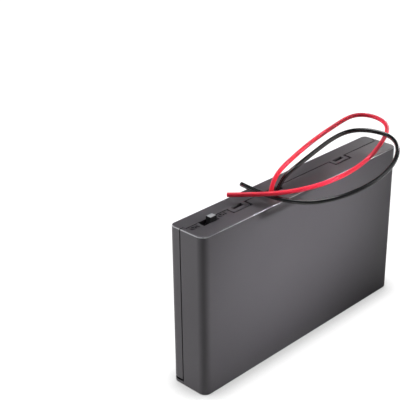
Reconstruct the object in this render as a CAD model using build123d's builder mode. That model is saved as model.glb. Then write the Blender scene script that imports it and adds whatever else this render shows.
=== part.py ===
"""Flat battery box for eight AA cells, with a swing-off cover, a slide switch and two leads.

Millimetres. X runs along the row of cells, Y from the plain front wall to the cover, and Z up. The box
stands on its long narrow bottom wall, with the origin in the middle of that wall's underside.
"""
import os
from math import cos, hypot, pi, sin, tan

from build123d import *

os.makedirs("parts", exist_ok=True)

# The cells that the box is made for
cell_count = 8
cell_diameter = 14.5
cell_length = 50.5
cell_gap = 0.55
cell_clearance = 0.3
cover_clearance = 0.2

# Walls of the tray
front_wall = 1.8
end_wall = 1.8
bottom_wall = 1.8
top_wall = 1.8
inner_wall = 1.5
inner_wall_setback = 4.1
channel_height = 9.8
divider_thickness = 0.5
divider_height = 5.0
divider_inset = 7.0
front_corner_radius = 3.5
back_corner_radius = 2.5
bottom_edge_radius = 0.8
top_edge_radius = 0.4

# Parting line between tray and cover, measured forward from the back face
end_parting = 6.1
top_parting = 7.6
parting_gap = 0.5

# Cover
cover_wall = 1.6
cover_flange = 1.6
cover_side_gap = 0.2
cover_bottom_gap = 0.2
cover_edge_radius = 1.2
cover_rib_height = 1.8
cover_rib_inset = 6.0

# Lugs that hang the cover in the bottom wall
lug_spacing = 80.0
lug_width = 8.0
lug_thickness = 1.2
lug_drop = 1.4
lug_back_gap = 0.3
lug_clearance = 0.3

# Latch tabs on the cover's top edge
latch_inset = 29.8
latch_width = 9.7
latch_reach = 3.7
latch_thickness = 1.0
latch_gap = 0.8
latch_corner_radius = 0.8
latch_edge_chamfer = 0.2
window_width = 5.8
window_depth = 2.05
window_bar = 1.65
nib_width = 4.6
nib_depth = 1.0
nib_gap = 0.3
nib_drop = 0.05
recess_drop = 0.3
recess_pad = 1.4
recess_pad_margin = 1.25

# Contact plates, made of sheet
plate_thickness = 0.4
plate_spacing = 2.55
plate_setback = 3.5
plate_corner = 1.5
plate_bridge = 6.0
boss_height = 0.8
boss_radius = 2.8
boss_sides = 12
boss_taper = 40.0
tag_width = 3.0
tag_height = 4.8
tag_offset = 3.0
tag_pin_run = 3.3
tag_gap = 0.2
rail_gap = 0.1
rail_thickness = 0.9
rail_overlap = 0.73
rail_web = 1.2
rail_setback = 4.1

# Cell springs
spring_wire = 0.8
spring_turns = 4
spring_steps = 6
spring_free_height = 7.2
spring_pressed_height = 5.0
spring_base_radius = 4.5
spring_tip_radius = 2.8
spring_sides = 5

# Slide switch
switch_offset = 0.25
slot_length = 8.6
slot_width = 3.2
case_length = 12.4
case_width = 5.4
case_height = 5.0
case_wall = 0.6
base_thickness = 1.0
base_clearance = 0.1
knob_length = 3.3
knob_width = 2.6
knob_height = 2.0
knob_edge_radius = 0.25
knob_clearance = 0.2
switch_travel = 2.5
foot_length = 6.0
foot_clearance = 0.3
foot_height = 1.8
foot_top_gap = 0.2
clip_thickness = 0.3
clip_width = 1.6
clip_gap = 0.15
pin_pitch = 3.0
pin_width = 1.0
pin_thickness = 0.5
pin_head = 0.7
pin_drop = 3.0
pin_clearance = 0.05
switch_rib = 1.2

# Leads
lead_diameter = 1.9
lead_sides = 8
arc_share = 0.45
exit_width = 8.0
exit_x = -11.05
exit_depth = 2.9
lead_setback = 1.4
red_run_inside = 3.8
black_run_inside = 2.9
lead_pin_gap = 0.35
wire_tag_gap = 0.4
lead_tag_gap = 0.6
solder_radius = 1.2
solder_height = 2.2
solder_taper = 15.0

# Sizes that follow from those above
pitch = cell_diameter + cell_gap
length = cell_count * pitch + 2 * end_wall
depth = front_wall + cell_clearance + cell_diameter + cover_clearance + cover_wall
half_length = length / 2
inside_half = half_length - end_wall
front_y = -depth / 2
back_y = depth / 2
floor_y = front_y + front_wall
cell_y = floor_y + cell_clearance + cell_diameter / 2
end_parting_y = back_y - end_parting
top_parting_y = back_y - top_parting
low_plate_z = bottom_wall + plate_thickness
high_plate_z = low_plate_z + spring_pressed_height + cell_length + boss_height
inner_wall_z = high_plate_z + plate_thickness
channel_z = inner_wall_z + inner_wall
ceiling_z = channel_z + channel_height
height = ceiling_z + top_wall
cell_places = [(index - (cell_count - 1) / 2) * pitch for index in range(cell_count)]
boundaries = [(first + second) / 2 for first, second in zip(cell_places, cell_places[1:])]
inner_wall_reach = cell_diameter - inner_wall_setback
rail_reach = cell_diameter - rail_setback
plate_width = pitch - plate_spacing
plate_depth = cell_diameter - plate_setback

# The cover turns about this line
hinge_y = back_y - cover_edge_radius
hinge_z = bottom_wall + cover_bottom_gap + cover_edge_radius
lug_low_z = bottom_wall - lug_drop + cover_bottom_gap
lug_back_y = back_y - lug_back_gap
lug_front_y = lug_back_y - lug_thickness
lug_reach = max(hypot(lug_y - hinge_y, hinge_z - lug_low_z) for lug_y in (lug_front_y, lug_back_y))
lug_slot_front_y = hinge_y - lug_reach - lug_clearance

# Latches, and the switch midway between one of them and the end wall
latch_spacing = length - 2 * latch_inset
recess_half = latch_width / 2 + latch_gap
pad_half = recess_half + recess_pad_margin
switch_x = switch_offset - (latch_spacing / 2 + pad_half + inside_half) / 2
switch_y = top_parting_y - slot_width / 2
pin_places = [switch_x - pin_pitch, switch_x, switch_x + pin_pitch]
first_pin_x, common_pin_x = pin_places[:2]
latch_low_z = height - latch_thickness
recess_z = latch_low_z - recess_drop
latch_front_y = top_parting_y + parting_gap - latch_reach
case_low_z = ceiling_z - case_height
base_top_z = case_low_z + base_thickness
head_top_z = base_top_z + pin_head
foot_width = case_width - 2 * case_wall - 2 * foot_clearance
foot_top_z = ceiling_z - case_wall - foot_top_gap
foot_low_z = foot_top_z - foot_height
pin_low_z = case_low_z - pin_drop
solder_z = pin_low_z + solder_height / 2
slider_x = switch_x + switch_travel / 2
lead_y = top_parting_y - lead_setback


def box_between(low, high):
    """Add a block between two corners to the part being built."""
    with Locations(tuple((a + b) / 2 for a, b in zip(low, high))):
        Box(*(b - a for a, b in zip(low, high)))


def outline():
    """Plan of the closed box, with its round corners, as a sketch on the ground."""
    with BuildSketch() as plan:
        Rectangle(length, depth)
        fillet(plan.vertices().group_by(Axis.Y)[0], radius=front_corner_radius)
        fillet(plan.vertices().sort_by(Axis.Y)[-2:], radius=back_corner_radius)
    return plan.sketch


def save(piece, name):
    """Name a finished piece and write it."""
    piece.part.label = name
    export_step(piece.part, f"parts/{name}.step")


def lead_path(points):
    """Smooth path of straight runs and tangent arcs, each arc as large as its two runs allow."""
    places = [Vector(*point) for point in points]
    radii = []
    for before, here, after in zip(places, places[1:], places[2:]):
        arriving = here - before
        leaving = after - here
        half_turn = arriving.get_angle(leaving) / 2 * pi / 180
        shorter = min(arriving.length, leaving.length)
        radii.append(arc_share * shorter / tan(half_turn))
    return FilletPolyline(*places, radius=radii), radii


def straight_back(points, distance):
    """Point behind the start of a route, in line with its first run."""
    start = Vector(*points[0])
    first_run = Vector(*points[1]) - start
    return tuple(start - first_run.normalized() * distance)


def make_lead(name, points, report=False):
    """A lead along its route, with flats in place of its round section."""
    with BuildPart() as lead:
        with BuildLine() as route:
            path, radii = lead_path(points)
        with BuildSketch(Plane(origin=route.line @ 0, z_dir=route.line % 0)):
            RegularPolygon(lead_diameter / 2, lead_sides, major_radius=False)
        sweep()
    save(lead, name)
    if report:
        section = lead_sides * (lead_diameter / 2) ** 2 * tan(pi / lead_sides)
        print(name, "length", round(path.length, 1), "smallest bend", round(min(radii), 1))
        print("  bends", [round(radius, 1) for radius in radii])
        print("  volume over section times length", round(lead.part.volume / (section * path.length), 4))
    return lead


# The closed box as one block, from which tray and cover take their outer form
with BuildPart() as closed_box:
    with BuildSketch():
        add(outline())
    extrude(amount=height)
    fillet(closed_box.faces().sort_by(Axis.Z)[0].edges(), radius=bottom_edge_radius)
    fillet(closed_box.faces().sort_by(Axis.Z)[-1].edges(), radius=top_edge_radius)

# Tray: front wall, ends, top and bottom in one moulding, open at the back
with BuildPart() as body_tray:
    add(closed_box.part)
    with BuildSketch(Plane.XY.offset(bottom_wall)):
        with Locations((0, (floor_y + back_y + depth) / 2)):
            Rectangle(2 * inside_half, back_y + depth - floor_y)
    extrude(amount=ceiling_z - bottom_wall, mode=Mode.SUBTRACT)
    # Room for the cover behind the parting line
    with BuildSketch(Plane.XY.offset(bottom_wall)):
        with Locations((0, end_parting_y)):
            Rectangle(length + depth, depth, align=(Align.CENTER, Align.MIN))
        with Locations((0, top_parting_y)):
            Rectangle(2 * inside_half, depth, align=(Align.CENTER, Align.MIN))
    extrude(amount=height, mode=Mode.SUBTRACT)
    # Wall that carries the upper contacts, with the wiring channel above it
    with BuildSketch(Plane.XY.offset(inner_wall_z)):
        with Locations((0, floor_y)):
            Rectangle(2 * inside_half, inner_wall_reach, align=(Align.CENTER, Align.MIN))
    extrude(amount=inner_wall)
    # Low dividers that keep the cells apart
    with BuildSketch(Plane.XY.offset(bottom_wall + divider_inset)):
        for boundary in boundaries:
            with Locations((boundary, floor_y)):
                Rectangle(divider_thickness, divider_height, align=(Align.CENTER, Align.MIN))
    extrude(amount=inner_wall_z - bottom_wall - 2 * divider_inset)
    # Rails over the edges of the contact plates: T-shaped between plates, L-shaped at the ends
    plate_side = (pitch - plate_width) / 2
    rail_half = plate_side + rail_overlap
    low_rail = (low_plate_z + rail_gap, low_plate_z + rail_gap + rail_thickness)
    high_rail = (high_plate_z - rail_gap - rail_thickness, high_plate_z - rail_gap)
    for number, boundary in enumerate(boundaries, start=1):
        rail = low_rail if number % 2 == 0 else high_rail
        web = (bottom_wall, low_rail[0]) if number % 2 == 0 else (high_rail[1], inner_wall_z)
        for half_width, (low_z, high_z) in ((rail_half, rail), (rail_web / 2, web)):
            box_between(
                (boundary - half_width, floor_y, low_z),
                (boundary + half_width, floor_y + rail_reach, high_z),
            )
    for side in (-1, 1):
        for rail in (low_rail, high_rail):
            inner = side * (inside_half - rail_half)
            outer = side * inside_half
            low_x, high_x = sorted((inner, outer))
            box_between((low_x, floor_y, rail[0]), (high_x, floor_y + rail_reach, rail[1]))
    # Recesses for the latch tabs, on a thicker pad, with the catch nib in each
    for side in (-1, 1):
        latch_x = side * latch_spacing / 2
        recess_front_y = latch_front_y - latch_gap
        pad_front_y = recess_front_y - recess_pad_margin
        box_between(
            (latch_x - pad_half, pad_front_y, recess_z - recess_pad),
            (latch_x + pad_half, top_parting_y, ceiling_z),
        )
        with BuildSketch(Plane.XY.offset(recess_z)):
            with Locations((latch_x, recess_front_y)):
                Rectangle(2 * recess_half, latch_reach + depth, align=(Align.CENTER, Align.MIN))
        extrude(amount=height - recess_z, mode=Mode.SUBTRACT)
        nib_front_y = latch_front_y + window_bar + nib_gap
        box_between(
            (latch_x - nib_width / 2, nib_front_y, recess_z),
            (latch_x + nib_width / 2, nib_front_y + nib_depth, latch_low_z - nib_drop),
        )
    # Notches in the top wall for the switch and the leads, which the cover's edge closes
    with BuildSketch(Plane.XY.offset(ceiling_z)):
        with Locations((switch_x, switch_y - slot_width / 2)):
            Rectangle(slot_length, depth, align=(Align.CENTER, Align.MIN))
        with Locations((exit_x, top_parting_y - exit_depth)):
            Rectangle(exit_width, depth, align=(Align.CENTER, Align.MIN))
    extrude(amount=top_wall, mode=Mode.SUBTRACT)
    # Ribs on both sides of the switch
    for side in (-1, 1):
        rib_x = switch_x + side * (case_length / 2 + base_clearance + switch_rib / 2)
        box_between(
            (rib_x - switch_rib / 2, floor_y, case_low_z),
            (rib_x + switch_rib / 2, top_parting_y, ceiling_z),
        )
    # Slots in the bottom wall for the cover's lugs
    for side in (-1, 1):
        lug_x = side * lug_spacing / 2
        slot_half = lug_width / 2 + lug_clearance
        with BuildSketch():
            with Locations((lug_x, lug_slot_front_y)):
                Rectangle(2 * slot_half, depth, align=(Align.CENTER, Align.MIN))
        extrude(amount=bottom_wall, mode=Mode.SUBTRACT)
save(body_tray, "body_tray")

# Cover: back wall with turned-in edges, latch tabs and lugs in one moulding
with BuildPart() as cover:
    add(closed_box.part)
    cover_low_z = bottom_wall + cover_bottom_gap
    # Take away what belongs to the tray
    with BuildSketch():
        with Locations((0, end_parting_y + parting_gap)):
            Rectangle(length + depth, depth, align=(Align.CENTER, Align.MAX))
    extrude(amount=height, mode=Mode.SUBTRACT)
    with BuildSketch():
        Rectangle(length + depth, 2 * depth)
    extrude(amount=cover_low_z, mode=Mode.SUBTRACT)
    # Hollow between the flanges, open at the bottom
    with BuildSketch(Plane.XY.offset(cover_low_z)):
        with Locations((0, back_y - cover_wall)):
            Rectangle(length - 2 * cover_flange, depth, align=(Align.CENTER, Align.MAX))
    extrude(amount=height - cover_flange - cover_low_z, mode=Mode.SUBTRACT)
    # The top flange reaches further forward between the tray's ends
    tongue_half = inside_half - cover_side_gap
    box_between(
        (-tongue_half, top_parting_y + parting_gap, height - cover_flange),
        (tongue_half, back_y - back_corner_radius, height),
    )
    # Round lower edge about the hinge line
    lower_edge = cover.edges().filter_by(Axis.X).group_by(Axis.Z)[0].sort_by(Axis.Y)[-1]
    fillet(lower_edge, radius=cover_edge_radius)
    # Ribs that keep the cells apart
    rib_back_y = back_y - cover_wall
    rib_low_z = cover_low_z + cover_rib_inset
    rib_high_z = inner_wall_z - cover_rib_inset
    for boundary in boundaries:
        box_between(
            (boundary - divider_thickness / 2, rib_back_y - cover_rib_height, rib_low_z),
            (boundary + divider_thickness / 2, rib_back_y, rib_high_z),
        )
    # Latch tabs with their windows
    for side in (-1, 1):
        latch_x = side * latch_spacing / 2
        with BuildSketch(Plane.XY.offset(latch_low_z)) as tab:
            with Locations((latch_x, latch_front_y)):
                Rectangle(latch_width, latch_reach + cover_flange, align=(Align.CENTER, Align.MIN))
            fillet(tab.vertices().group_by(Axis.Y)[0], radius=latch_corner_radius)
            with Locations((latch_x, latch_front_y + window_bar)):
                Rectangle(window_width, window_depth, align=(Align.CENTER, Align.MIN), mode=Mode.SUBTRACT)
        extrude(amount=latch_thickness)
        # Soft edge round the tab
        rim = [
            edge for edge in cover.edges().group_by(Axis.Z)[-1]
            if edge.center().Y < top_parting_y + parting_gap - latch_edge_chamfer
            and (abs(edge.center().X - latch_x) > window_width / 2 + latch_edge_chamfer
                 or edge.center().Y < latch_front_y + window_bar / 2)
            and abs(edge.center().X - latch_x) < latch_width
        ]
        chamfer(rim, length=latch_edge_chamfer)
    # Lugs that hang in the bottom wall
    for side in (-1, 1):
        lug_x = side * lug_spacing / 2
        box_between(
            (lug_x - lug_width / 2, lug_front_y, lug_low_z),
            (lug_x + lug_width / 2, lug_back_y, hinge_z),
        )
save(cover, "cover")

# Contact plates
def plate_outline(x, z):
    """One plate's outline with its corners cut, as a sketch at its height."""
    with BuildSketch(Plane.XY.offset(z)) as plan:
        with Locations((x, cell_y)):
            Rectangle(plate_width, plate_depth)
        chamfer(plan.vertices(), length=plate_corner)
    return plan.sketch


def tapered_block(radius):
    """Tapered block with flat sides that stands on the ground."""
    with BuildPart() as block:
        with BuildSketch():
            RegularPolygon(radius, boss_sides)
        extrude(amount=boss_height, taper=boss_taper)
    return block.part


def plate_boss(x, z, direction):
    """Raised boss that touches a cell's plus end, hollow behind."""
    turn = (90 - 90 * direction, 0, 0)
    outside = Location((x, cell_y, z), turn)
    inside = Location((x, cell_y, z - direction * plate_thickness), turn)
    add(tapered_block(boss_radius).moved(outside))
    add(tapered_block(boss_radius - plate_thickness).moved(inside), mode=Mode.SUBTRACT)


def make_link_plate(name, first, second, plus_x, z, direction):
    """Plate that joins one cell's plus end to its neighbour's spring."""
    with BuildPart() as plate:
        with BuildSketch(Plane.XY.offset(z)):
            with Locations(((first + second) / 2, cell_y)):
                Rectangle(pitch, plate_bridge)
        extrude(amount=-direction * plate_thickness)
        for x in (first, second):
            extrude(plate_outline(x, z), amount=-direction * plate_thickness)
        plate_boss(plus_x, z, direction)
    save(plate, name)


def make_end_plate(name, x, z, tag_x, has_boss):
    """End contact with a tag that rises behind the inner wall for the solder joint."""
    tag_front_y = floor_y + inner_wall_reach + tag_gap
    with BuildPart() as plate:
        extrude(plate_outline(x, z), amount=plate_thickness)
        box_between(
            (tag_x - tag_width / 2, tag_front_y, z),
            (tag_x + tag_width / 2, tag_front_y + plate_thickness, z + tag_height),
        )
        if has_boss:
            plate_boss(x, z, -1)
    save(plate, name)
    return plate


# Odd cells stand plus end up and even cells plus end down, so the links lie in turn below and above
for number in range(1, cell_count):
    first, second = cell_places[number - 1], cell_places[number]
    if number % 2 == 1:
        make_link_plate(f"link_plate_{number}", first, second, second, low_plate_z, 1)
    else:
        make_link_plate(f"link_plate_{number}", first, second, second, high_plate_z, -1)
plus_tag_x = first_pin_x - tag_pin_run
minus_tag_x = cell_places[-1] - tag_offset
plus_end_plate = make_end_plate("plus_end_plate", cell_places[0], high_plate_z, plus_tag_x, True)
minus_end_plate = make_end_plate("minus_end_plate", cell_places[-1], high_plate_z, minus_tag_x, False)

# Cell springs, tapered coils on the minus contacts
for number, x in enumerate(cell_places, start=1):
    direction = 1 if number % 2 == 1 else -1
    seat_z = low_plate_z if direction == 1 else high_plate_z
    coil_points = []
    for step in range(spring_turns * spring_steps + 1):
        share = step / (spring_turns * spring_steps)
        radius = spring_base_radius + (spring_tip_radius - spring_base_radius) * share
        angle = 2 * pi * step / spring_steps
        rise = spring_wire / 2 + (spring_free_height - spring_wire) * share
        place = (x + radius * cos(angle), cell_y + radius * sin(angle), seat_z + direction * rise)
        coil_points.append(place)
    with BuildPart() as cell_spring:
        with BuildLine() as coil:
            Polyline(*coil_points)
        with BuildSketch(Plane(origin=coil.line @ 0, z_dir=coil.line % 0)):
            RegularPolygon(spring_wire / 2, spring_sides)
        sweep(transition=Transition.RIGHT)
    save(cell_spring, f"cell_spring_{number}")

# Slide switch under the top wall
with BuildPart() as switch_case:
    box_between(
        (switch_x - case_length / 2, switch_y - case_width / 2, case_low_z),
        (switch_x + case_length / 2, switch_y + case_width / 2, ceiling_z),
    )
    with BuildSketch(Plane.XY.offset(case_low_z)):
        with Locations((switch_x, switch_y)):
            Rectangle(case_length - 2 * case_wall, case_width - 2 * case_wall)
    extrude(amount=case_height - case_wall, mode=Mode.SUBTRACT)
    with BuildSketch(Plane.XY.offset(case_low_z)):
        with Locations((switch_x, switch_y)):
            Rectangle(knob_length + switch_travel + 2 * knob_clearance, knob_width + 2 * knob_clearance)
    extrude(amount=case_height, mode=Mode.SUBTRACT)
save(switch_case, "switch_case")

base_margin = case_wall + base_clearance
with BuildPart() as switch_base:
    with BuildSketch(Plane.XY.offset(case_low_z)):
        with Locations((switch_x, switch_y)):
            Rectangle(case_length - 2 * base_margin, case_width - 2 * base_margin)
        with Locations(*((x, switch_y) for x in pin_places)):
            Rectangle(pin_width + 2 * pin_clearance, pin_thickness + 2 * pin_clearance, mode=Mode.SUBTRACT)
    extrude(amount=base_thickness)
save(switch_base, "switch_base")

switch_pins = []
for number, x in enumerate(pin_places, start=1):
    with BuildPart() as switch_pin:
        with BuildSketch(Plane.XY.offset(pin_low_z)):
            with Locations((x, switch_y)):
                Rectangle(pin_width, pin_thickness)
        extrude(amount=base_top_z - pin_low_z)
        with BuildSketch(Plane.XY.offset(base_top_z)):
            with Locations((x, switch_y)):
                Rectangle(pin_width + 2 * pin_thickness, clip_width)
        extrude(amount=pin_head)
    save(switch_pin, f"switch_pin_{number}")
    switch_pins.append(switch_pin)

with BuildPart() as switch_slider:
    with BuildSketch(Plane.XY.offset(foot_low_z)):
        with Locations((slider_x, switch_y)):
            Rectangle(foot_length, foot_width)
    extrude(amount=foot_height)
    with BuildSketch(Plane.XY.offset(foot_top_z)):
        with Locations((slider_x, switch_y)):
            Rectangle(knob_length, knob_width)
    extrude(amount=height + knob_height - foot_top_z)
    fillet(switch_slider.faces().sort_by(Axis.Z)[-1].edges(), radius=knob_edge_radius)
save(switch_slider, "switch_slider")

# Bent strip under the slider that bridges two pins
with BuildPart() as switch_contact:
    clip_half = pin_pitch / 2 + pin_width / 2
    bump_z = head_top_z + clip_gap
    with BuildSketch(Plane.XZ.offset(-switch_y - clip_width / 2)):
        with BuildLine():
            Polyline(
                (slider_x - clip_half, bump_z),
                (slider_x - clip_half + pin_width, bump_z),
                (slider_x - pin_width / 2, foot_low_z - clip_thickness),
                (slider_x + pin_width / 2, foot_low_z - clip_thickness),
                (slider_x + clip_half - pin_width, bump_z),
                (slider_x + clip_half, bump_z),
                (slider_x + clip_half, bump_z + clip_thickness),
                (slider_x + clip_half - pin_width, bump_z + clip_thickness),
                (slider_x + pin_width / 2, foot_low_z),
                (slider_x - pin_width / 2, foot_low_z),
                (slider_x - clip_half + pin_width, bump_z + clip_thickness),
                (slider_x - clip_half, bump_z + clip_thickness),
                close=True,
            )
        make_face()
    extrude(amount=clip_width)
save(switch_contact, "switch_contact")

# Free leads, along the loops that they hold above the top wall. Each route is given from the middle of
# the exit notch on the top face.
red_route = [
    (-2.15, 0.0, -0.9), (-0.85, 0.2, 3.0), (2.25, 0.5, 6.3), (6.85, 0.8, 8.4), (14.55, 2.4, 9.3),
    (25.55, 5.2, 9.8), (39.05, 8.2, 10.1), (52.55, 10.4, 10.4), (61.25, 11.8, 10.5), (67.75, 12.0, 10.4),
    (72.0, 10.2, 10.2), (74.6, 6.5, 9.8), (74.9, 2.0, 9.3), (73.25, -2.3, 8.8), (69.25, -6.2, 8.4),
    (62.65, -9.8, 7.9), (53.05, -13.6, 7.3), (40.05, -17.5, 6.4), (26.05, -19.2, 5.7), (12.65, -18.2, 5.1),
    (0.85, -15.0, 4.8), (-8.45, -9.5, 4.5), (-15.85, -2.4, 4.2), (-21.95, 5.7, 3.6),
]
black_route = [
    (2.15, 0.0, -0.9), (3.85, -0.2, 2.3), (6.95, -0.6, 4.9), (11.75, -1.0, 6.6), (19.55, -0.3, 7.9),
    (29.05, 1.0, 8.9), (39.55, 2.4, 9.8), (48.35, 2.2, 10.5), (54.35, -0.5, 10.8), (58.15, -5.6, 10.7),
    (59.55, -12.0, 10.4), (57.55, -18.5, 10.0), (50.65, -25.1, 9.3), (39.65, -30.6, 8.3),
    (27.45, -33.4, 7.2), (15.65, -33.1, 6.0), (5.45, -30.4, 4.9), (-2.15, -25.8, 3.9),
    (-6.55, -19.1, 2.9), (-8.45, -10.2, 2.2), (-9.1, 0.3, 1.95), (-8.55, 10.4, 2.3),
]
lead_start = (exit_x, lead_y, height)
red_points = [tuple(base + step for base, step in zip(lead_start, point)) for point in red_route]
black_points = [tuple(base + step for base, step in zip(lead_start, point)) for point in black_route]
make_lead("red_lead", red_points, report=True)
make_lead("black_lead", black_points, report=True)

# The same leads inside the box, in the wiring channel
tag_front_y = floor_y + inner_wall_reach + tag_gap
beside_pin_y = switch_y - pin_thickness / 2 - lead_diameter / 2 - lead_pin_gap
red_inside_points = [
    red_points[0], straight_back(red_points, red_run_inside),
    (exit_x - 6.35, lead_y - 0.8, channel_z + 4.2),
    (exit_x - 11.95, lead_y - 1.4, channel_z + 2.9),
    (common_pin_x + 15.4, lead_y - 1.9, channel_z + 2.4),
    (common_pin_x + 7.4, lead_y - 1.5, channel_z + 2.8),
    (common_pin_x + pin_width, beside_pin_y, solder_z),
]
black_inside_points = [
    black_points[0], straight_back(black_points, black_run_inside),
    (exit_x + 1.15, lead_y, channel_z + 5.3),
    (exit_x + 3.45, lead_y - 0.3, channel_z + 3.3),
    (exit_x + 8.05, lead_y - 0.6, channel_z + 2.4),
    (exit_x + 16.05, lead_y - 1.0, channel_z + 2.3),
    (exit_x + 31.05, lead_y - 0.5, channel_z + 2.5),
    (minus_tag_x - 14.7, lead_y + 0.7, channel_z + 2.3),
    (minus_tag_x - 7.2, lead_y + 1.5, channel_z + 2.5),
    (minus_tag_x - tag_width / 2 - lead_tag_gap, tag_front_y - lead_diameter / 2, solder_z),
]
red_lead_inside = make_lead("red_lead_inside", red_inside_points)
black_lead_inside = make_lead("black_lead_inside", black_inside_points)
switch_wire = make_lead("switch_wire", [
    (first_pin_x - pin_width, switch_y, solder_z), (plus_tag_x, switch_y, solder_z),
    (plus_tag_x, tag_front_y - wire_tag_gap, solder_z),
])


def make_solder(name, place, *joined):
    """Bead of solder that closes round the ends it joins."""
    with BuildPart() as bead:
        with BuildSketch(Plane(origin=place, z_dir=(0, 0, 1))):
            RegularPolygon(solder_radius, lead_sides)
        extrude(amount=solder_height / 2, taper=solder_taper, both=True)
        for piece in joined:
            add(piece.part, mode=Mode.SUBTRACT)
    save(bead, name)


make_solder(
    "solder_red_lead",
    (common_pin_x + pin_width / 2, beside_pin_y / 2, solder_z),
    switch_pins[1], red_lead_inside,
)
make_solder(
    "solder_switch_wire",
    (first_pin_x - pin_width / 2, switch_y, solder_z),
    switch_pins[0], switch_wire,
)
make_solder(
    "solder_plus_plate",
    (plus_tag_x, tag_front_y - solder_radius / 2, solder_z),
    plus_end_plate, switch_wire,
)
make_solder(
    "solder_minus_plate",
    (minus_tag_x - tag_width / 2, tag_front_y - lead_diameter / 2, solder_z),
    minus_end_plate, black_lead_inside,
)
for piece in (body_tray, cover, switch_case, switch_slider):
    print(piece.part.label, piece.part.is_valid, round(piece.part.volume / 1000, 2), "cm3")
print("length", length, "depth", depth, "height", height, "hinge", hinge_y, hinge_z)
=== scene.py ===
# %% [markdown]
# # A flat battery box with a slide switch and two leads
# The shape of this box was measured and modelled first, as plain solids. This lesson dresses those solids:
# it adds the camera, the leads, the lettering, the springs and the finishes. Blender works in metres here,
# with X along the box, Y from its plain front towards its cover, and Z up.

# %% Load the solids
import bpy
from math import cos, pi, radians, sin
from mathutils import Matrix, Vector


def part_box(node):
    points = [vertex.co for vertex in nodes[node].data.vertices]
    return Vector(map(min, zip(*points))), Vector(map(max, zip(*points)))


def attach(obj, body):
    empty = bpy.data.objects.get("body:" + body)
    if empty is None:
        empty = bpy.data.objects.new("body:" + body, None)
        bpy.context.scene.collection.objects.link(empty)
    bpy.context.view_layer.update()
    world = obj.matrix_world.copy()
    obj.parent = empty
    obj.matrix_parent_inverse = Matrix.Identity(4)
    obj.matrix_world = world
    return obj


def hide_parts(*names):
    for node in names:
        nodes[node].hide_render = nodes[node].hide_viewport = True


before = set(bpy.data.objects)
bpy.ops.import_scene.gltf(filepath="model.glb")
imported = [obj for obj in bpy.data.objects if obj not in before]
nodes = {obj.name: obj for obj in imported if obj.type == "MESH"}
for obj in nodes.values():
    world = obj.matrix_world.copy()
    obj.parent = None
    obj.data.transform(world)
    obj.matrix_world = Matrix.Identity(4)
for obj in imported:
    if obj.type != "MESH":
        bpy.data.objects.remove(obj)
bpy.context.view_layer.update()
MM = 0.001
top_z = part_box("body_tray")[1][2]
print("solids", len(nodes), "top face at", round(top_z / MM, 2), "mm")

# %% [markdown]
# ## The camera
# A product photograph is easiest to match when the camera is placed by numbers. The corners of the box in
# the photograph gave the place, the direction, a small roll and the focal length. The matrix holds the
# camera's own X, Y and Z directions as its columns.

# %% Place the camera
azimuth, elevation, roll = radians(-44.843), radians(25.529), radians(-0.884)
back = Vector((sin(azimuth) * cos(elevation), -cos(azimuth) * cos(elevation), sin(elevation)))
right = (-back).cross(Vector((0, 0, 1))).normalized()
up = right.cross(-back)
camera_x = right * cos(roll) + up * sin(roll)
camera_y = up * cos(roll) - right * sin(roll)
camera = bpy.data.objects.new("camera", bpy.data.cameras.new("camera"))
camera.matrix_world = Matrix.Translation((-0.30593, -0.25318, 0.25316)) @ Matrix(
    (camera_x, camera_y, back)).transposed().to_4x4()
camera.data.sensor_width = 36
camera.data.lens = 93.99
camera.data.clip_start = 0.01
bpy.context.scene.collection.objects.link(camera)
bpy.context.scene.camera = camera
print("camera", [round(value, 3) for value in camera.matrix_world.translation])

# %% [markdown]
# ## The two leads
# The real leads are soft round wires in a plastic sleeve. A bundle of edges could be skinned, but a NURBS
# curve with a round bevel is the natural choice: its line stays smooth between the few points that are
# listed, and its thickness is one number. The order is set after the points, so that the curve
# really is smooth and not straight from point to point. The bevel depth is 1 and each point's radius is half
# the wire's thickness, because a curve's box counts the radius of its points.

# %% A round wire along a listed route
lead_diameter = 1.9 * MM
exit_hole = Vector((-11.05 * MM, 0.2 * MM, top_z))


def round_wire(name, points, thickness):
    """Smooth curve through its route, with a round section."""
    curve = bpy.data.curves.new(name, "CURVE")
    curve.dimensions = "3D"
    spline = curve.splines.new("NURBS")
    spline.points.add(len(points) - 1)
    for control, place in zip(spline.points, points):
        control.co = (*place, 1)
        control.radius = thickness / 2
    spline.order_u = 3
    spline.use_endpoint_u = True
    spline.resolution_u = 8
    curve.bevel_depth = 1.0
    curve.bevel_resolution = 6
    curve.use_fill_caps = True
    wire = bpy.data.objects.new(name, curve)
    bpy.context.scene.collection.objects.link(wire)
    return wire


# %% [markdown]
# Each lead ends in a clean cut, where its seven bare strands show. One strand is a thin cylinder, and six
# copies stand round it. They are joined to one piece and turned into the lead's last
# direction before their place is applied, so the finished object sits at the origin.

# %% Strands at a cut end


def settle(piece, name):
    """Name a piece and apply its place, turn and scale to its mesh."""
    bpy.ops.object.select_all(action="DESELECT")
    piece.select_set(True)
    bpy.context.view_layer.objects.active = piece
    bpy.ops.object.transform_apply(location=True, rotation=True, scale=True)
    piece.name = name
    return piece


def cut_strands(name, end, direction, radius, proud):
    """Seven strands that stand a little proud of the sleeve's end."""
    parts = []
    for number in range(7):
        reach = 0 if number == 0 else 2.1 * radius
        angle = number * pi / 3
        bpy.ops.object.select_all(action="DESELECT")
        bpy.ops.mesh.primitive_cylinder_add(vertices=10, radius=radius, depth=2 * proud,
                                            location=(reach * cos(angle), reach * sin(angle), 0))
        parts.append(bpy.context.object)
    bpy.ops.object.select_all(action="DESELECT")
    for part in parts:
        part.select_set(True)
    bpy.context.view_layer.objects.active = parts[0]
    bpy.ops.object.join()
    bundle = settle(bpy.context.object, name)
    bpy.ops.object.shade_smooth_by_angle(angle=radians(35))
    bundle.rotation_euler = direction.to_track_quat("Z", "Y").to_euler()
    bundle.location = end
    return settle(bundle, name)


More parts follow.
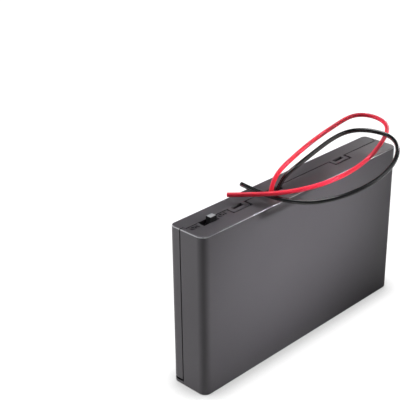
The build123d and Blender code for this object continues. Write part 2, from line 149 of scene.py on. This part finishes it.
# %% The red and the black lead
red_route = [
    (-2.15, 0.0, -0.9), (-0.85, 0.2, 3.0), (2.25, 0.5, 6.3), (6.85, 0.8, 8.4), (14.55, 2.4, 9.3),
    (25.55, 5.2, 9.8), (39.05, 8.2, 10.1), (52.55, 10.4, 10.4), (61.25, 11.8, 10.5), (67.75, 12.0, 10.4),
    (72.0, 10.2, 10.2), (74.6, 6.5, 9.8), (74.9, 2.0, 9.3), (73.25, -2.3, 8.8), (69.25, -6.2, 8.4),
    (62.65, -9.8, 7.9), (53.05, -13.6, 7.3), (40.05, -17.5, 6.4), (26.05, -19.2, 5.7), (12.65, -18.2, 5.1),
    (0.85, -15.0, 4.8), (-8.45, -9.5, 4.5), (-15.85, -2.4, 4.2), (-21.95, 5.7, 3.6),
]
black_route = [
    (2.15, 0.0, -0.9), (3.85, -0.2, 2.3), (6.95, -0.6, 4.9), (11.75, -1.0, 6.6), (19.55, -0.3, 7.9),
    (29.05, 1.0, 8.9), (39.55, 2.4, 9.8), (48.35, 2.2, 10.5), (54.35, -0.5, 10.8), (58.15, -5.6, 10.7),
    (59.55, -12.0, 10.4), (57.55, -18.5, 10.0), (50.65, -25.1, 9.3), (39.65, -30.6, 8.3),
    (27.45, -33.4, 7.2), (15.65, -33.1, 6.0), (5.45, -30.4, 4.9), (-2.15, -25.8, 3.9),
    (-6.55, -19.1, 2.9), (-8.45, -10.2, 2.2), (-9.1, 0.3, 1.95), (-8.55, 10.4, 2.3),
]
leads = {}
tinned = []
for colour, route, length in (("red", red_route, 0.202), ("black", black_route, 0.179)):
    places = [exit_hole + Vector(point) * MM for point in route]
    lead = round_wire(f"{colour}_lead_round", places, lead_diameter)
    strands = cut_strands(f"{colour}_lead_strands", places[-1], places[-1] - places[-2], 0.16 * MM, 0.12 * MM)
    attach(lead, "tray")
    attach(strands, "tray")
    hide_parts(f"{colour}_lead")
    leads[colour] = lead
    tinned.append(strands)
    print(colour, "lead", round(lead.data.splines[0].calc_length() / MM, 1), "mm")

# %% [markdown]
# ## Wires inside the box
# With the cover open, the leads can be followed along the wiring channel to their solder joints. These runs
# are the same round wire, with the points of the solids that they stand for. Nothing here is free to move:
# each is held at both ends.

# %% Inner runs of the leads and the switch wire
inner_routes = {
    "red_lead_inside": ("red_sleeve", [
        (-13.2, 0.2, 71.1), (-14.4, 0.0, 67.5), (-17.4, -0.6, 64.6), (-23.0, -1.2, 63.3), (-34.0, -1.7, 62.8),
        (-42.0, -1.3, 63.2), (-48.4, -1.55, 63.3),
    ]),
    "black_lead_inside": ("black_sleeve", [
        (-8.9, 0.2, 71.1), (-10.26, 0.36, 68.54), (-9.9, 0.2, 65.7), (-7.6, -0.1, 63.7), (-3.0, -0.4, 62.8),
        (5.0, -0.8, 62.7), (20.0, -0.3, 62.9), (35.0, 0.9, 62.7), (42.5, 1.7, 62.9), (47.6, 2.25, 63.3),
    ]),
    "switch_wire": ("red_sleeve", [
        (-53.4, 0.0, 63.3), (-55.0, 0.0, 63.3), (-55.7, 0.6, 63.3), (-55.7, 2.8, 63.3),
    ]),
}
inner_wires = {}
for node, (sleeve_slot, route) in inner_routes.items():
    wire = round_wire(f"{node}_round", [Vector(point) * MM for point in route], lead_diameter)
    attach(wire, "tray")
    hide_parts(node)
    inner_wires[wire] = sleeve_slot
print("inner wires", [wire.name for wire in inner_wires])

# %% [markdown]
# ## Cell springs
# Each spring is a coil of round wire that narrows towards its tip. A screw modifier makes an even coil only,
# so the line of the coil is worked out turn by turn instead and given the same round bevel. The coil is
# modelled once, turned into a mesh, and copied to the eight bays. Odd springs stand on the lower contacts,
# and even ones hang from the upper contacts, turned half way round.

# %% Model one spring and copy it
pitch, cell_y = 15.05 * MM, 0.15 * MM
low_seat, high_seat = 2.2 * MM, 58.5 * MM
spring_wire, spring_height, base_radius, tip_radius = 0.8 * MM, 7.2 * MM, 4.5 * MM, 2.8 * MM
turns, steps = 4, 12
coil = []
for step in range(turns * steps + 1):
    share = step / (turns * steps)
    radius = base_radius + (tip_radius - base_radius) * share
    angle = 2 * pi * step / steps
    rise = spring_wire / 2 + (spring_height - spring_wire) * share
    coil.append((radius * cos(angle), radius * sin(angle), rise))
master = round_wire("spring_master", coil, spring_wire)
master.data.bevel_resolution = 2
master.data.splines[0].resolution_u = 2
bpy.ops.object.select_all(action="DESELECT")
master.select_set(True)
bpy.context.view_layer.objects.active = master
bpy.ops.object.convert(target="MESH")
master = bpy.context.object
bpy.ops.object.shade_smooth_by_angle(angle=radians(40))
springs = []
for number in range(8):
    piece = master.copy()
    piece.data = master.data.copy()
    bpy.context.scene.collection.objects.link(piece)
    upper = number % 2 == 1
    turn = Matrix.Rotation(pi, 4, "X") if upper else Matrix.Identity(4)
    seat = Vector(((number - 3.5) * pitch, cell_y, high_seat if upper else low_seat))
    piece.data.transform(Matrix.Translation(seat) @ turn)
    piece.name = f"cell_spring_{number + 1}_round"
    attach(piece, "tray")
    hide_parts(f"cell_spring_{number + 1}")
    springs.append(piece)
bpy.data.objects.remove(master)
print("springs", len(springs), "with", len(springs[0].data.polygons), "faces each")

# %% [markdown]
# ## Solder joints
# A solder joint is a rounded drop with necks drawn out where it wets the wire. It starts as a sphere, whose
# two poles are pulled out with proportional editing, and stays inside the space of the solid it stands for.

# %% Four drops of solder


def solder_drop(node):
    """Drop of solder with a neck drawn out above and below."""
    low, high = (Vector(corner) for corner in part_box(node))
    middle = (low + high) / 2
    size = high - low
    bpy.ops.object.select_all(action="DESELECT")
    bpy.ops.mesh.primitive_uv_sphere_add(segments=24, ring_count=14, radius=0.5, location=middle)
    drop = bpy.context.object
    drop.scale = (size.x, size.y, size.z * 0.8)
    settle(drop, f"{node}_drop")
    bpy.ops.object.mode_set(mode="EDIT")
    bpy.ops.mesh.select_all(action="DESELECT")
    bpy.ops.object.mode_set(mode="OBJECT")
    for side in (-1, 1):
        pole = max(drop.data.vertices, key=lambda vertex: side * vertex.co.z).index
        for vertex in drop.data.vertices:
            vertex.select = vertex.index == pole
        bpy.ops.object.mode_set(mode="EDIT")
        bpy.ops.transform.translate(value=(0, 0, side * size.z * 0.1), use_proportional_edit=True,
                                    proportional_edit_falloff="SHARP", proportional_size=size.x * 0.35)
        bpy.ops.object.mode_set(mode="OBJECT")
    bpy.ops.object.shade_smooth()
    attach(drop, "tray")
    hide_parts(node)
    return drop


drops = [solder_drop(node) for node in
         ("solder_red_lead", "solder_switch_wire", "solder_plus_plate", "solder_minus_plate")]
print("solder", [[round(side / MM, 2) for side in drop.dimensions] for drop in drops])

# %% [markdown]
# ## Lettering
# The words ON and OFF stand a quarter of a millimetre proud of the top face, at the two ends of the switch.
# They could be painted, but in the photograph they have the colour of the case and show only by their lit
# edges. So each is a text object with some depth, turned into a mesh before its place is applied.

# %% Raised words beside the switch


def raised_word(name, word, x, y, size, rise):
    """Raised word that reads from the front, with its feet in the top face."""
    bpy.ops.object.select_all(action="DESELECT")
    bpy.ops.object.text_add()
    piece = bpy.context.object
    piece.data.body = word
    piece.data.size = size
    piece.data.align_x = "CENTER"
    piece.data.align_y = "CENTER"
    piece.data.extrude = rise
    piece.data.bevel_depth = rise * 0.15
    piece.data.resolution_u = 4
    bpy.ops.object.convert(target="MESH")
    piece = bpy.context.object
    piece.location = (x, y, top_z)
    settle(piece, name)
    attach(piece, "tray")
    print(name, [round(side / MM, 2) for side in piece.dimensions])
    return piece


letter_size, letter_rise = 2.7 * MM, 0.25 * MM
letters = [
    raised_word("word_on", "ON", -57.3 * MM, 0.0, letter_size, letter_rise),
    raised_word("word_off", "OFF", -41.75 * MM, 0.1 * MM, letter_size, letter_rise),
]

# %% [markdown]
# ## Tools for the finishes
# Every finish below starts from the Principled shader. Two effects turn up in several of them, so each is
# built once as a node group: the fine grain that a spark-eroded mould leaves on plastic, and the slow
# change in tone and gloss of a large moulded or rolled face. Both read Object coordinates, which are
# metres here, so a scale of 1000 makes marks of about a millimetre.

# %% Helpers for materials and groups


def join(tree, source, target):
    """Link one socket to another."""
    tree.links.new(source, target)


def start_group(name, inputs, outputs):
    """New node group with number inputs and number outputs."""
    group = bpy.data.node_groups.new(name, "ShaderNodeTree")
    for label, value in inputs.items():
        socket = group.interface.new_socket(label, in_out="INPUT", socket_type="NodeSocketFloat")
        socket.default_value = value
    for label in outputs:
        group.interface.new_socket(label, in_out="OUTPUT", socket_type="NodeSocketFloat")
    return group, group.nodes.new("NodeGroupInput"), group.nodes.new("NodeGroupOutput")


def start_material(name, roughness, metallic=0.0):
    """New material with one Principled shader."""
    material = bpy.data.materials.new(name)
    material.use_nodes = True
    shader = material.node_tree.nodes["Principled BSDF"]
    shader.inputs["Roughness"].default_value = roughness
    shader.inputs["Metallic"].default_value = metallic
    return material, material.node_tree, shader


def place_group(tree, group, **values):
    """Put a group into a material with its own values."""
    node = tree.nodes.new("ShaderNodeGroup")
    node.node_tree = group
    for label, value in values.items():
        node.inputs[label].default_value = value
    return node


def blend_colours(tree, mask, low, high, target):
    """Blend two colours by a mask and feed them to a colour socket."""
    mix = tree.nodes.new("ShaderNodeMix")
    mix.data_type = "RGBA"
    mix.inputs["A"].default_value = (*low, 1)
    mix.inputs["B"].default_value = (*high, 1)
    join(tree, mask, mix.inputs["Factor"])
    join(tree, mix.outputs["Result"], target)


def spread(tree, mask, low, high, target):
    """Turn a mask from 0 to 1 into a number from low to high."""
    node = tree.nodes.new("ShaderNodeMapRange")
    node.inputs["To Min"].default_value = low
    node.inputs["To Max"].default_value = high
    join(tree, mask, node.inputs["Value"])
    join(tree, node.outputs["Result"], target)
    return node


def raise_bumps(tree, height, depth, shader):
    """Bump the surface by a height mask, with its depth in metres."""
    bump = tree.nodes.new("ShaderNodeBump")
    bump.inputs["Distance"].default_value = depth
    bump.inputs["Strength"].default_value = 1.0
    join(tree, height, bump.inputs["Height"])
    join(tree, bump.outputs["Normal"], shader.inputs["Normal"])


# %% The grain of a spark-eroded mould
spark_grain, grain_in, grain_out = start_group("spark_grain", {"Scale": 2600.0}, ["Height", "Speckle"])
where = spark_grain.nodes.new("ShaderNodeTexCoord")
pits = spark_grain.nodes.new("ShaderNodeTexNoise")
pits.inputs["Detail"].default_value = 2.0
pits.inputs["Roughness"].default_value = 0.55
cells = spark_grain.nodes.new("ShaderNodeTexVoronoi")
cells.feature = "SMOOTH_F1"
cells.inputs["Smoothness"].default_value = 0.6
both = spark_grain.nodes.new("ShaderNodeMath")
both.operation = "MULTIPLY_ADD"
both.inputs[1].default_value = 0.5
for texture in (pits, cells):
    join(spark_grain, where.outputs["Object"], texture.inputs["Vector"])
    join(spark_grain, grain_in.outputs["Scale"], texture.inputs["Scale"])
join(spark_grain, cells.outputs["Distance"], both.inputs[0])
join(spark_grain, pits.outputs["Fac"], both.inputs[2])
join(spark_grain, both.outputs["Value"], grain_out.inputs["Height"])
join(spark_grain, pits.outputs["Fac"], grain_out.inputs["Speckle"])

# %% The slow change over a large face
slow_change, slow_in, slow_out = start_group("slow_change", {"Scale": 25.0, "Contrast": 1.6}, ["Mask"])
where = slow_change.nodes.new("ShaderNodeTexCoord")
clouds = slow_change.nodes.new("ShaderNodeTexNoise")
clouds.inputs["Detail"].default_value = 3.0
centre = slow_change.nodes.new("ShaderNodeMath")
centre.operation = "SUBTRACT"
centre.inputs[1].default_value = 0.5
gain = slow_change.nodes.new("ShaderNodeMath")
gain.operation = "MULTIPLY_ADD"
gain.use_clamp = True
gain.inputs[2].default_value = 0.5
join(slow_change, where.outputs["Object"], clouds.inputs["Vector"])
join(slow_change, slow_in.outputs["Scale"], clouds.inputs["Scale"])
join(slow_change, clouds.outputs["Fac"], centre.inputs[0])
join(slow_change, centre.outputs["Value"], gain.inputs[0])
join(slow_change, slow_in.outputs["Contrast"], gain.inputs[1])
join(slow_change, gain.outputs["Value"], slow_out.inputs["Mask"])
print("groups", [group.name for group in bpy.data.node_groups])

# %% [markdown]
# ## Moulded plastic
# The case is one dark grey plastic with a fine matt grain: no paint and no clear coat. Its colour hardly
# changes, so what makes it look real is the gloss, which is a little uneven, and the grain in the bumps.
# The knob is a blacker plastic with less shine, so that its sides stay dark beside the case.

# %% Dark plastics


def moulded_plastic(name, low, high, rough_low, rough_high, grain=2600.0, depth=0.006 * MM):
    """Moulded plastic: slow change in tone and gloss, and a fine grain."""
    material, tree, shader = start_material(name, rough_low)
    change = place_group(tree, slow_change, Scale=22.0, Contrast=1.5)
    fine = place_group(tree, spark_grain, Scale=grain)
    blend_colours(tree, change.outputs["Mask"], low, high, shader.inputs["Base Color"])
    spread(tree, fine.outputs["Speckle"], rough_low, rough_high, shader.inputs["Roughness"])
    raise_bumps(tree, fine.outputs["Height"], depth, shader)
    return material


near_black = ((0.008, 0.008, 0.009), (0.014, 0.014, 0.015))
case_finish = moulded_plastic("case_plastic_finish", (0.080, 0.075, 0.083), (0.096, 0.091, 0.099), 0.26, 0.38)
knob_finish = moulded_plastic("knob_plastic_finish", *near_black, 0.42, 0.55, grain=4000.0, depth=0.002 * MM)
knob_finish.node_tree.nodes["Principled BSDF"].inputs["Specular IOR Level"].default_value = 0.2

# %% [markdown]
# ## Painted sheen, highlights and gap shade
# Three small effects of light and shade are painted into the colours by masks, since lamps alone didn't give
# them here. The knob's top is painted paler, a painted sheen where it would mirror the bright surroundings.
# The rounded rim of the case's top face has a thin painted highlight, found from how far the surface faces
# up. Both read the object's own directions and places, so they stay with the piece when the cover swings.
# Narrow gaps get painted shade, found by how much of the surroundings is hidden.

# %% Masks for the knob, the rim and the gaps


def number_node(tree, operation, first, second=None, value=None):
    """Math node on one or two sockets, or on a socket and a value."""
    node = tree.nodes.new("ShaderNodeMath")
    node.operation = operation
    join(tree, first, node.inputs[0])
    if second is not None:
        join(tree, second, node.inputs[1])
    elif value is not None:
        node.inputs[1].default_value = value
    return node.outputs["Value"]


def tint_by_mask(tree, mask, colour):
    """Blend a material's base colour towards another where a mask is 1."""
    shader = tree.nodes["Principled BSDF"]
    blend = tree.nodes.new("ShaderNodeMix")
    blend.data_type = "RGBA"
    join(tree, mask, blend.inputs["Factor"])
    join(tree, shader.inputs["Base Color"].links[0].from_socket, blend.inputs["A"])
    blend.inputs["B"].default_value = (*colour, 1)
    join(tree, blend.outputs["Result"], shader.inputs["Base Color"])


def upward(tree):
    """How far a surface faces up at rest, as the Z of its normal in its object's own directions."""
    facing = tree.nodes.new("ShaderNodeTexCoord")
    split = tree.nodes.new("ShaderNodeSeparateXYZ")
    join(tree, facing.outputs["Normal"], split.inputs["Vector"])
    return split.outputs["Z"]


def painted_top_sheen(material, colour):
    """Painted sheen: lighter colour where the surface faces up, standing in for a reflection."""
    tree = material.node_tree
    rising = tree.nodes.new("ShaderNodeMapRange")
    rising.inputs["From Min"].default_value = 0.55
    rising.inputs["From Max"].default_value = 0.95
    join(tree, upward(tree), rising.inputs["Value"])
    tint_by_mask(tree, rising.outputs["Result"], colour)


def painted_rim_highlight(material, colour, above, beyond_x, beyond_y):
    """Painted highlight: lighter colour on the rounded outer rim of the top face, strongest half way round
    its radius.
    """
    tree = material.node_tree
    slope = upward(tree)
    level = number_node(tree, "MULTIPLY", slope, number_node(tree, "SUBTRACT", one(tree), slope))
    peak = number_node(tree, "MULTIPLY", level, value=4.0)
    where = tree.nodes.new("ShaderNodeTexCoord")
    place = tree.nodes.new("ShaderNodeSeparateXYZ")
    join(tree, where.outputs["Object"], place.inputs["Vector"])
    across = number_node(tree, "ABSOLUTE", place.outputs["X"])
    side_x = number_node(tree, "GREATER_THAN", across, value=beyond_x)
    along = number_node(tree, "ABSOLUTE", place.outputs["Y"])
    side_y = number_node(tree, "GREATER_THAN", along, value=beyond_y)
    side = number_node(tree, "MAXIMUM", side_x, side_y)
    high_up = number_node(tree, "GREATER_THAN", place.outputs["Z"], value=above)
    on_rim = number_node(tree, "MULTIPLY", side, high_up)
    tint_by_mask(tree, number_node(tree, "MULTIPLY", peak, on_rim), colour)


def one(tree):
    """Constant of 1."""
    node = tree.nodes.new("ShaderNodeValue")
    node.outputs["Value"].default_value = 1.0
    return node.outputs["Value"]


def painted_gap_shade(material, reach):
    """Painted shade: dark colour in narrow gaps, found by how much of the surroundings is hidden."""
    tree = material.node_tree
    hidden = tree.nodes.new("ShaderNodeAmbientOcclusion")
    hidden.samples = 8
    hidden.inputs["Distance"].default_value = reach
    shade = tree.nodes.new("ShaderNodeMapRange")
    shade.inputs["From Min"].default_value = 0.45
    shade.inputs["From Max"].default_value = 0.9
    shade.inputs["To Min"].default_value = 1.0
    shade.inputs["To Max"].default_value = 0.0
    join(tree, hidden.outputs["AO"], shade.inputs["Value"])
    tint_by_mask(tree, shade.outputs["Result"], (0.003, 0.003, 0.003))


# Painted sheen: the knob's top is painted paler where it faces up.
painted_top_sheen(knob_finish, (0.360, 0.365, 0.380))
# Painted highlight: a thin pale line painted on the case's rounded top rim.
painted_rim_highlight(case_finish, (0.50, 0.50, 0.52), above=71.3 * MM, beyond_x=61.0 * MM, beyond_y=8.2 * MM)
# Painted shade: the case's narrow gaps are painted dark.
painted_gap_shade(case_finish, 1.2 * MM)
switch_finish = moulded_plastic("switch_plastic_finish", *near_black, 0.35, 0.5)
board_finish = moulded_plastic("switch_board_finish", (0.16, 0.07, 0.03), (0.21, 0.10, 0.045), 0.5, 0.65)
print("plastics", [finish.name for finish in (case_finish, knob_finish, switch_finish, board_finish)])

# %% [markdown]
# ## Wire sleeves
# A sleeve is extruded, so it is smooth round the wire with a very fine grain. The red one is bright and a
# little see-through at its surface, which subsurface gives. The black one is glossy under a coat, but it
# shows little of that here, because the lamp that would draw a white line along it is hidden from
# reflections in the studio below.

# %% Red and black sleeves


def sleeve(name, low, high, roughness, coat, glow):
    """Extruded soft plastic round a wire."""
    material, tree, shader = start_material(name, roughness)
    change = place_group(tree, slow_change, Scale=120.0, Contrast=1.4)
    blend_colours(tree, change.outputs["Mask"], low, high, shader.inputs["Base Color"])
    spread(tree, change.outputs["Mask"], roughness * 0.85, roughness * 1.25, shader.inputs["Roughness"])
    shader.inputs["Coat Weight"].default_value = coat
    shader.inputs["Coat Roughness"].default_value = 0.12
    shader.inputs["Subsurface Weight"].default_value = glow
    shader.inputs["Subsurface Scale"].default_value = 0.8 * MM
    shader.inputs["Subsurface Radius"].default_value = (1.0, 0.4, 0.4)
    fine = place_group(tree, spark_grain, Scale=1500.0)
    raise_bumps(tree, fine.outputs["Height"], 0.004 * MM, shader)
    return material


red_finish = sleeve("red_sleeve_finish", (0.88, 0.032, 0.072), (0.95, 0.048, 0.098), 0.42, 0.15, 0.7)
black_finish = sleeve("black_sleeve_finish", *near_black, 0.14, 0.8, 0.0)
black_finish.node_tree.nodes["Principled BSDF"].inputs["Specular IOR Level"].default_value = 0.8

# %% [markdown]
# ## Bare metals
# The contact plates are nickel-plated sheet, the springs are nickel-plated steel wire, and the joints are
# tin solder. All three are the Principled shader at full metallic. What tells them apart is the gloss:
# rolled sheet has long faint lines, drawn wire is brighter, and solder is smooth but wavy.

# %% Contact sheet, spring wire and solder


def bare_metal(name, low, high, rough_low, rough_high, stretch, scale, depth):
    """Metal with a stretched texture in its gloss and bumps."""
    material, tree, shader = start_material(name, rough_low, metallic=1.0)
    where = tree.nodes.new("ShaderNodeTexCoord")
    turn = tree.nodes.new("ShaderNodeMapping")
    turn.inputs["Scale"].default_value = stretch
    lines = tree.nodes.new("ShaderNodeTexNoise")
    lines.inputs["Scale"].default_value = scale
    lines.inputs["Detail"].default_value = 3.0
    join(tree, where.outputs["Object"], turn.inputs["Vector"])
    join(tree, turn.outputs["Vector"], lines.inputs["Vector"])
    change = place_group(tree, slow_change, Scale=90.0, Contrast=2.0)
    blend_colours(tree, change.outputs["Mask"], low, high, shader.inputs["Base Color"])
    spread(tree, lines.outputs["Fac"], rough_low, rough_high, shader.inputs["Roughness"])
    raise_bumps(tree, lines.outputs["Fac"], depth, shader)
    return material


sheet_finish = bare_metal("contact_metal_finish", (0.60, 0.58, 0.54), (0.70, 0.68, 0.64), 0.20, 0.42,
                          (1, 14, 1), 180.0, 0.004 * MM)
wire_finish = bare_metal("spring_wire_finish", (0.62, 0.61, 0.59), (0.74, 0.73, 0.71), 0.14, 0.30,
                         (1, 1, 6), 300.0, 0.002 * MM)
solder_finish = bare_metal("solder_finish", (0.52, 0.53, 0.54), (0.66, 0.67, 0.68), 0.16, 0.36,
                           (1, 1, 1), 700.0, 0.03 * MM)

# %% Give each solid its finish
finishes = {
    "case_plastic": case_finish, "knob_plastic": knob_finish, "switch_plastic": switch_finish,
    "switch_board": board_finish, "contact_metal": sheet_finish, "spring_wire": wire_finish,
    "solder": solder_finish, "red_sleeve": red_finish, "black_sleeve": black_finish,
}
for name, solid in nodes.items():
    for place in solid.material_slots:
        place.material = finishes[place.material.name]
for colour, lead in leads.items():
    lead.data.materials.append(finishes[f"{colour}_sleeve"])
for wire, sleeve_slot in inner_wires.items():
    wire.data.materials.append(finishes[sleeve_slot])
for finish, pieces in (("spring_wire", springs), ("solder", drops + tinned), ("case_plastic", letters)):
    for piece in pieces:
        piece.data.materials.append(finishes[finish])
print("finishes", len(finishes), "on", len(nodes), "solids")

# %% [markdown]
# ## Studio
# The box stands on a plain pale floor. The floor and the world look white to the camera alone, so that the
# background is white without more light on the box. The floor's glow for the camera is dimmed where the box
# is close: a painted contact shadow, standing in for the shadow that the white would drown.

# %% Floor


def pale_floor(albedo, reach, camera_share):
    """Matt floor that looks white to the camera, with a painted contact shadow close to the box."""
    bpy.ops.object.select_all(action="DESELECT")
    bpy.ops.mesh.primitive_plane_add(size=6)
    floor = bpy.context.object
    floor.name = "floor"
    material, tree, shader = start_material("floor_finish", 0.9)
    shader.inputs["Base Color"].default_value = (albedo, albedo, albedo, 1)
    shader.inputs["Specular IOR Level"].default_value = 0.0
    # Painted contact shadow: the camera's glow is dimmed by ambient occlusion close to the box.
    painted_shadow_ao = tree.nodes.new("ShaderNodeAmbientOcclusion")
    painted_shadow_ao.samples = 12
    painted_shadow_ao.inputs["Distance"].default_value = reach
    glow = tree.nodes.new("ShaderNodeEmission")
    level = spread(tree, painted_shadow_ao.outputs["AO"], 0.64, 1.22, glow.inputs["Strength"])
    level.inputs["From Min"].default_value = 0.5
    rays = tree.nodes.new("ShaderNodeLightPath")
    share = tree.nodes.new("ShaderNodeMath")
    share.operation = "MULTIPLY"
    share.inputs[1].default_value = camera_share
    mix = tree.nodes.new("ShaderNodeMixShader")
    join(tree, rays.outputs["Is Camera Ray"], share.inputs[0])
    join(tree, share.outputs["Value"], mix.inputs["Fac"])
    join(tree, shader.outputs["BSDF"], mix.inputs[1])
    join(tree, glow.outputs["Emission"], mix.inputs[2])
    join(tree, mix.outputs["Shader"], tree.nodes["Material Output"].inputs["Surface"])
    floor.data.materials.append(material)


pale_floor(albedo=0.60, reach=10 * MM, camera_share=0.88)

# %% [markdown]
# Four soft lamps light the box: one behind it on the left, one above, and one each behind and in front on
# the right. Two small lamps with a narrow beam add a soft pool on the front wall. Their powers were fitted
# to the tones of the photograph. A rounded corner that faces the camera turns away from the side lamps and
# goes dark, which shows its shape. The left lamp and the pool lamps are hidden from reflections: seen at a
# flat angle, the top face would mirror them and turn white. The price is fewer highlights on wire and metal.

# %% World and lamps
world = bpy.data.worlds.new("studio")
world.use_nodes = True
bpy.context.scene.world = world
sky = world.node_tree.nodes["Background"]
sky.inputs["Color"].default_value = (1, 1, 1, 1)
rays = world.node_tree.nodes.new("ShaderNodeLightPath")
level = world.node_tree.nodes.new("ShaderNodeMapRange")
level.inputs["To Min"].default_value = 0.02
level.inputs["To Max"].default_value = 1.0
join(world.node_tree, rays.outputs["Is Camera Ray"], level.inputs["Value"])
join(world.node_tree, level.outputs["Result"], sky.inputs["Strength"])


def soft_lamp(name, place, side, power, mirrored=True, aim=(0, 0, 0.04)):
    """Square soft lamp that looks at the box, shown in reflections or not."""
    lamp = bpy.data.lights.new(name, "AREA")
    lamp.shape = "RECTANGLE"
    lamp.size = side
    lamp.size_y = side
    lamp.energy = power
    holder = bpy.data.objects.new(name, lamp)
    holder.location = place
    holder.rotation_euler = (Vector(aim) - Vector(place)).to_track_quat("-Z", "Y").to_euler()
    holder.visible_glossy = mirrored
    bpy.context.scene.collection.objects.link(holder)
    return holder


soft_lamp("lamp_left", (-0.277, 0.378, 0.220), 0.60, 3.9, mirrored=False)
soft_lamp("lamp_above", (0.10, 0.25, 1.12), 0.7, 4.6)
soft_lamp("lamp_right", (1.057, 0.385, 0.279), 0.5, 2.7)
soft_lamp("lamp_front", (0.863, -0.498, 0.615), 0.8, 1.15)
for name, aim_x, power in (("lamp_pool_a", -0.020, 0.022), ("lamp_pool_b", 0.0, 0.021)):
    pool = soft_lamp(name, (aim_x + 0.410, -0.419, 0.205), 0.08, power,
                     mirrored=False, aim=(aim_x, -0.009, 0.050))
    pool.data.spread = radians(8)
bpy.context.scene.view_settings.view_transform = "Standard"
lamps = [piece for piece in bpy.context.scene.objects if piece.type == "LIGHT"]
print("lamps", {lamp.name: round(lamp.data.energy, 3) for lamp in lamps})
